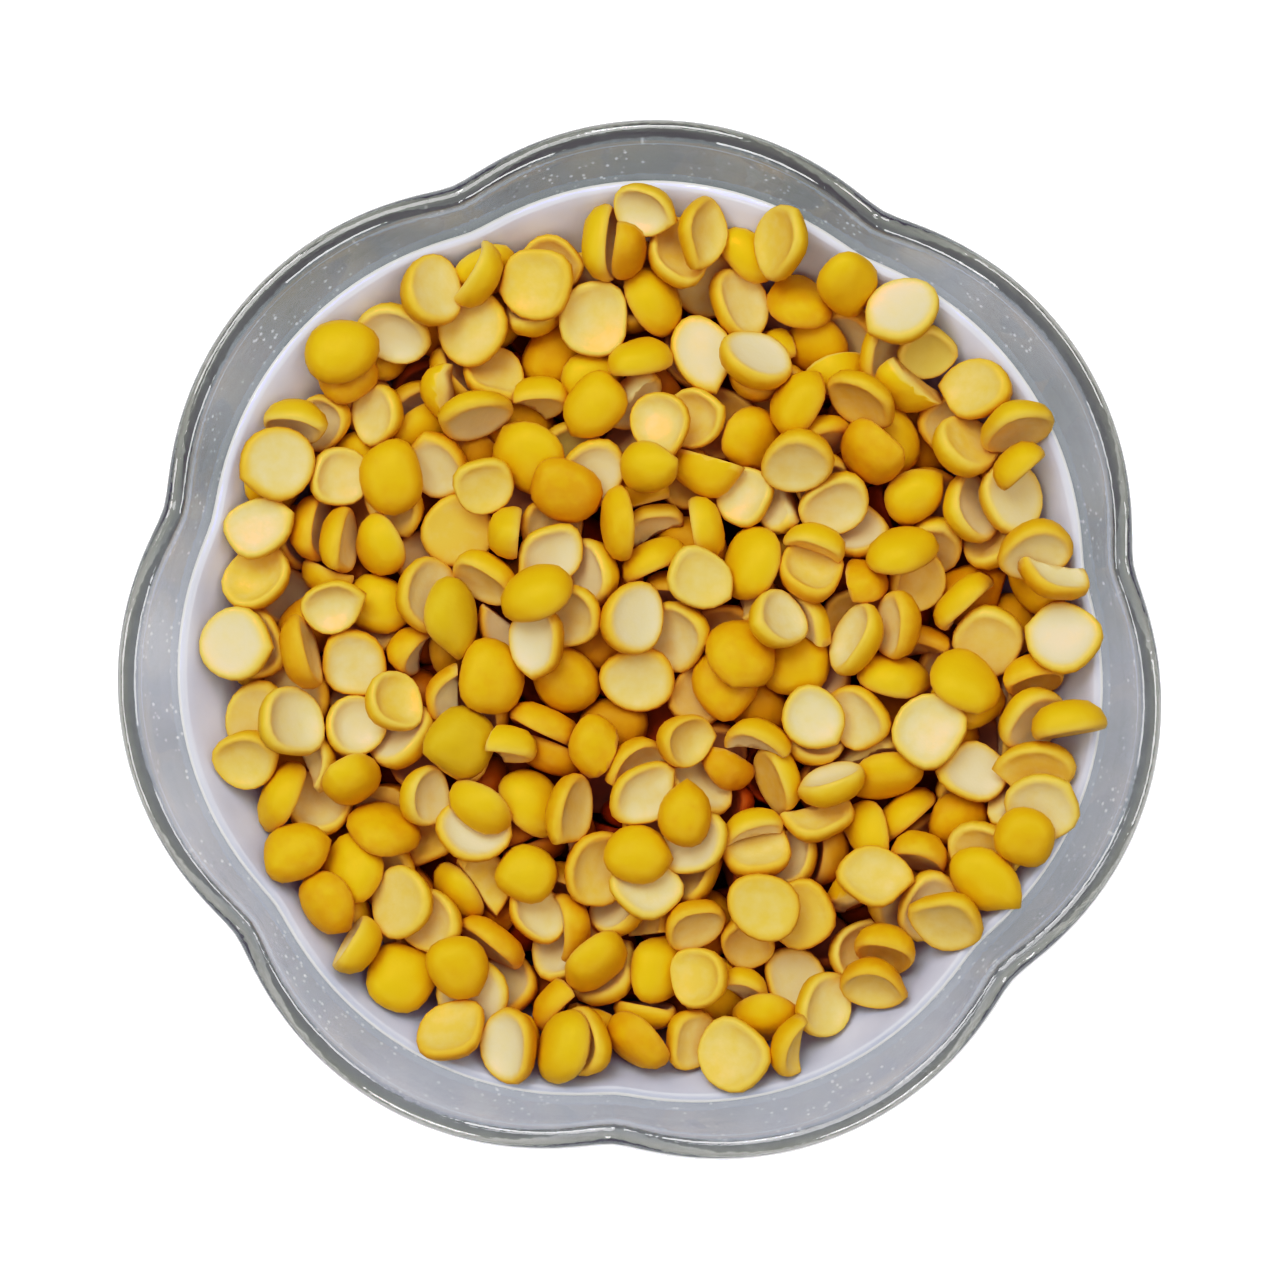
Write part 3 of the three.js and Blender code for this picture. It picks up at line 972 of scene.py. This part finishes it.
# %% Pour them
HALVES = 414
PER_LAYER = 74
EDGE_HALVES = 60
PER_EDGE_RING = 20
EDGE_START = 43 * MM
EDGE_LIMIT = 43.6 * MM  # a half at rest further out lies on the rim and is taken away
FACE_UP_SHARE = 0.50
DOME_UP_SHARE = 0.13
LEAN_SPREAD = math.radians(30)
START_RADIUS = 36.5 * MM
START_WIDENING = 3.5 * MM
START_LIMIT = 44 * MM
START_RISE = 4.5 * MM
LAYER_GAP = 7 * MM
SETTLE_FRAMES = 60
KIND_SHARES = [1.0] * WHOLE_KINDS + [0.8] * CHIPPED_KINDS

settled = pour(HALVES, LOOSE_DEPTH, SETTLE_FRAMES)
crown = max(matrix.translation.z for _, matrix in settled)
print(len(settled), "halves settled, the highest at", round(crown / MM, 1), "mm")

# %% [markdown]
# ## From settled places to real halves
#
# A cloud of points holds where each half came to rest: its place, its turn, its kind and its
# depth in the heap. A small tree puts the matching fine half on each point, gives it its two
# random colour numbers, and makes all of them real, so that the result is one plain mesh.

# %% Build the scattering tree
def scatter_tree():
    inputs = {"Places": "Geometry", "Kinds": "Collection", "Size": "Float", "Seed": "Int"}
    tree, add, given = new_tree("Scattered halves", {**inputs, "Material": "Material"}, "Halves")
    kinds_in = add(
        "GeometryNodeCollectionInfo",
        {"Collection": given["Kinds"], "Separate Children": True, "Reset Children": True},
    )
    kind = add("GeometryNodeInputNamedAttribute", {"Name": "kind"}, data_type="INT")
    turn = add("GeometryNodeInputNamedAttribute", {"Name": "turn"}, data_type="QUATERNION")
    points = add("GeometryNodeMeshToPoints", {"Mesh": given["Places"]})
    picked = {"Instance": kinds_in, "Pick Instance": True, "Instance Index": kind}
    placed = {"Points": points, "Rotation": turn, "Scale": given["Size"]}
    geometry = add("GeometryNodeInstanceOnPoints", {**placed, **picked}).outputs["Instances"]
    for name, step in (("tone", 1), ("bleach", 2)):
        seed = add("ShaderNodeMath", {0: given["Seed"], 1: float(step)}, operation="ADD")
        value = add("FunctionNodeRandomValue", {"Seed": seed})
        geometry = add(
            "GeometryNodeStoreNamedAttribute",
            {"Geometry": geometry, "Name": name, "Value": value},
            data_type="FLOAT",
            domain="INSTANCE",
        ).outputs["Geometry"]
    real = add("GeometryNodeRealizeInstances", {"Geometry": geometry})
    painted = add("GeometryNodeSetMaterial", {"Geometry": real, "Material": given["Material"]})
    add("NodeGroupOutput", {"Halves": painted})
    return tree


scatter = scatter_tree()
print("the scattering tree has", len(scatter.nodes), "nodes")

# %% Put the fine halves in place
DEEP_FROM = 5.4 * MM  # below the heap's smooth surface a half begins to darken with painted shade
DEEP_TO = 9.2 * MM
OLIVE_EACH = 55  # one whole half in so many is olive


def depth_share(place):
    """How much painted shade darkens a half: 0 in the top layer, rising to 1 for one that lies deep in the
    heap.
    """
    below = heap_height(math.hypot(place.x, place.y)) - place.z
    return min(max((below - DEEP_FROM) / (DEEP_TO - DEEP_FROM), 0.0), 1.0)


def scattered(name, shapes, places, material, seed):
    """One piece of all the given halves: shapes are meshes, places are (kind, matrix)."""
    collection = bpy.data.collections.new(name + " kinds")
    for i, shape in enumerate(shapes):
        collection.objects.link(bpy.data.objects.new(f"{name} kind {i:02d}", shape))
    mesh = bpy.data.meshes.new(name + " places")
    mesh.from_pydata([matrix.translation[:] for _, matrix in places], [], [])
    store(mesh, "kind", [kind for kind, _ in places], "INT")
    store(mesh, "turn", [part for _, matrix in places for part in matrix.to_quaternion()], "QUATERNION")
    store(mesh, "depth", [depth_share(matrix.translation) for _, matrix in places])
    source = add_object(name + " source", mesh)
    modifier = source.modifiers.new("scatter", "NODES")
    modifier.node_group = scatter
    set_inputs(modifier, {"Kinds": collection, "Size": 1.0, "Seed": seed, "Material": material})
    piece = made_plain(name, source)
    for held in list(collection.objects):
        bpy.data.objects.remove(held)
    bpy.data.collections.remove(collection)
    piece.data.calc_loop_triangles()
    print(name, len(places), "halves,", len(piece.data.loop_triangles), "triangles")
    return piece


whole_places = [(kind, matrix) for kind, matrix in settled if kind < WHOLE_KINDS]
chip_places = [(kind - WHOLE_KINDS, matrix) for kind, matrix in settled if kind >= WHOLE_KINDS]
olive_places = whole_places[::OLIVE_EACH]
golden_places = [place for i, place in enumerate(whole_places) if i % OLIVE_EACH]
whole_shapes = [fine for fine, _ in kinds[:WHOLE_KINDS]]
chip_shapes = [fine for fine, _ in kinds[WHOLE_KINDS:]]

split_lentils = scattered("split_lentils", whole_shapes, golden_places, golden_skin, seed=3)
chipped_lentils = scattered("chipped_lentils", chip_shapes, chip_places, golden_skin, seed=5)
olive_lentils = scattered("olive_lentils", whole_shapes, olive_places, olive_skin, seed=7)

# %% [markdown]
# ## The table
#
# A plain pale sheet with barely any texture, so that the eye stays on the dish. It glows a
# little, as a backlit sheet does, which keeps the dish's shadow faint. It lies a hair below the
# foot, because two surfaces at the same height would flicker.

# %% Lay the table
TABLE_HALF = 1.5
FOOT_CLEARANCE = 0.3 * MM
CARD_GRAIN_SIZE = 3 * MM


def pale_sheet():
    material, add = new_material("pale matt card")
    place = add("ShaderNodeTexCoord").outputs["Object"]
    grain = add("ShaderNodeTexNoise", {"Vector": place, "Scale": 1 / CARD_GRAIN_SIZE, "Detail": 3.0})
    colour = add("ShaderNodeValToRGB", {"Fac": grain}, [(0.3, "f8f8f8"), (0.7, "fcfcfc")])
    glow = {"Emission Color": linear("ffffff"), "Emission Strength": 0.62}
    sheet = add("ShaderNodeBsdfPrincipled", {"Base Color": colour, "Roughness": 0.9, **glow})
    add("ShaderNodeOutputMaterial", {"Surface": sheet})
    return material


table_mesh = bpy.data.meshes.new("table")
signs = [(-1, -1), (1, -1), (1, 1), (-1, 1)]
corners = [(x * TABLE_HALF, y * TABLE_HALF, -FOOT_CLEARANCE) for x, y in signs]
table_mesh.from_pydata(corners, [], [(0, 1, 2, 3)])
table_mesh.materials.append(pale_sheet())
table = add_object("table", table_mesh)
print("laid the table")

# %% [markdown]
# ## Light and camera
#
# The dish is seen from straight above. Six soft panels stand in a ring round it and shine down
# obliquely, the strongest from +Y and a little -X. Only a weak fill shines from straight above,
# so the gaps between the halves get mostly light that has already met other halves, and turn a
# deep red, which the painted shade of the deep halves and of the core deepens. A grey surround,
# darker towards +Y, lights no matt surface and is what the glass bends and mirrors. Seven strips,
# which light nothing matt either, give the thin bright lines along the rim. A film curve deepens
# the shadows and softens the brightest tones, and a second one takes some green out of the
# shadows.

# %% Light it
def panel(name, place, size, power, aim=(0, 0, 0.03)):
    """A soft rectangular light that points at the dish. The power is in watts."""
    light = bpy.data.lights.new(name, "AREA")
    light.shape = "RECTANGLE"
    light.size, light.size_y = size
    light.energy = power
    lamp = add_object(name, light)
    lamp.location = place
    lamp.rotation_mode = "QUATERNION"
    lamp.rotation_quaternion = (Vector(aim) - Vector(place)).to_track_quat("-Z", "Y")
    return lamp


def around(distance, azimuth, elevation):
    """A place seen from the dish: how far, in which direction round it and how high, in radians."""
    level = distance * math.cos(elevation)
    return level * math.cos(azimuth), level * math.sin(azimuth), distance * math.sin(elevation)


RING_DISTANCE = 0.85
RING_ELEVATION = math.radians(56)
RING_SIZE = 0.5
MAIN_PANEL = 118  # the one whose gleam shows on the lentils
# direction round the dish in degrees, and power in watts
RING_PANELS = [(MAIN_PANEL, 4.8), (58, 1.2), (178, 0.9), (238, 0.6), (358, 0.9), (298, 0.5)]
for azimuth, power in RING_PANELS:
    place = around(RING_DISTANCE, math.radians(azimuth), RING_ELEVATION)
    lamp = panel(f"panel {azimuth}", place, (RING_SIZE, RING_SIZE), power)
    lamp.visible_glossy = azimuth == MAIN_PANEL

FILL_SIZE = 0.7
FILL_POWER = 1.1
fill = panel("fill", (0, 0, RING_DISTANCE), (FILL_SIZE, FILL_SIZE), FILL_POWER)
fill.visible_glossy = False

STRIP_DISTANCE = 0.7
STRIP_WIDTH = 0.15
STRIP_POWER = 2.0
# direction round the dish, height above the horizon and length, in degrees
STRIPS = [(40, 38, 34), (88, 45, 26), (142, 36, 30), (186, 33, 36)]
STRIPS += [(246, 40, 20), (300, 35, 22), (352, 36, 30)]
for number, (azimuth, elevation, spread) in enumerate(STRIPS):
    azimuth, elevation, spread = map(math.radians, (azimuth, elevation, spread))
    length = STRIP_DISTANCE * math.cos(elevation) * spread
    place = around(STRIP_DISTANCE, azimuth, elevation)
    strip = panel(f"strip {number}", place, (length, STRIP_WIDTH), STRIP_POWER)
    strip.visible_diffuse = False

SKY_NORTH = 0.3
SKY_SOUTH = 0.75
surround = bpy.data.worlds.new("grey surround")
surround.use_nodes = True
sky = surround.node_tree
add = partial(add_node, sky)
direction = add("ShaderNodeTexCoord").outputs["Generated"]
northward = add("ShaderNodeSeparateXYZ", {"Vector": direction}).outputs["Y"]
strength = add(
    "ShaderNodeMapRange",
    {"Value": northward, "From Min": -0.7, "From Max": 0.7, "To Min": SKY_SOUTH, "To Max": SKY_NORTH},
)
sky.nodes["Background"].inputs["Color"].default_value = linear("cacaca")
sky.links.new(strength.outputs["Result"], sky.nodes["Background"].inputs["Strength"])
surround.cycles_visibility.diffuse = False
bpy.context.scene.world = surround

# what a tone becomes on the film, in sRGB steps from 0 to 255, and what its green becomes
FILM_SHADES = [(14, 9), (28, 19), (60, 50), (92, 86), (122, 121)]
FILM_LIGHTS = [(152, 158), (182, 191), (215, 216), (240, 229), (250, 239)]
GREEN_CURVE = [(26, 18), (56, 48), (88, 85), (106, 106), (130, 132), (165, 166), (190, 190)]
view = bpy.context.scene.view_settings
view.view_transform = "Standard"
view.use_curve_mapping = True
for layer, steps in ((3, FILM_SHADES + FILM_LIGHTS), (1, GREEN_CURVE)):
    for tone, kept in steps:
        tone, kept = (linear(f"{step:02x}" * 3)[0] for step in (tone, kept))
        view.curve_mapping.curves[layer].points.new(tone, kept)
view.curve_mapping.update()
print(len(RING_PANELS), "panels,", len(STRIPS), "strips and a surround")

# %% Set the camera
IMAGE_WIDTH = 128.6 * MM
CAMERA_DISTANCE = 420 * MM
AXIS_OFFSET = (-0.21 * MM, 0.68 * MM)

camera = bpy.data.cameras.new("camera")
camera.sensor_width = 36
camera.lens = camera.sensor_width * CAMERA_DISTANCE / IMAGE_WIDTH
camera.clip_start = 0.01
eye = add_object("camera", camera)
eye.location = (*AXIS_OFFSET, WALL_TOP + CAMERA_DISTANCE)
bpy.context.scene.camera = eye
print("lens", round(camera.lens, 1), "mm")

# %% [markdown]
# ## Joining the model
#
# Every fine piece rides on the one body of the part and takes the place of its measured node,
# which is hidden.

# %% Hand over the pieces
for piece, node, slot in (
    (pressed_dish, "glass_dish", "clear_glass"),
    (satin_liner, "white_liner", "white_liner"),
    (heap_core, "lentil_heap", "split_lentil"),
    (split_lentils, "lentil_heap", "split_lentil"),
    (chipped_lentils, "lentil_heap", "split_lentil"),
    (olive_lentils, "lentil_heap", "split_lentil"),
):
    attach(piece, "root")
    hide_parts(node)
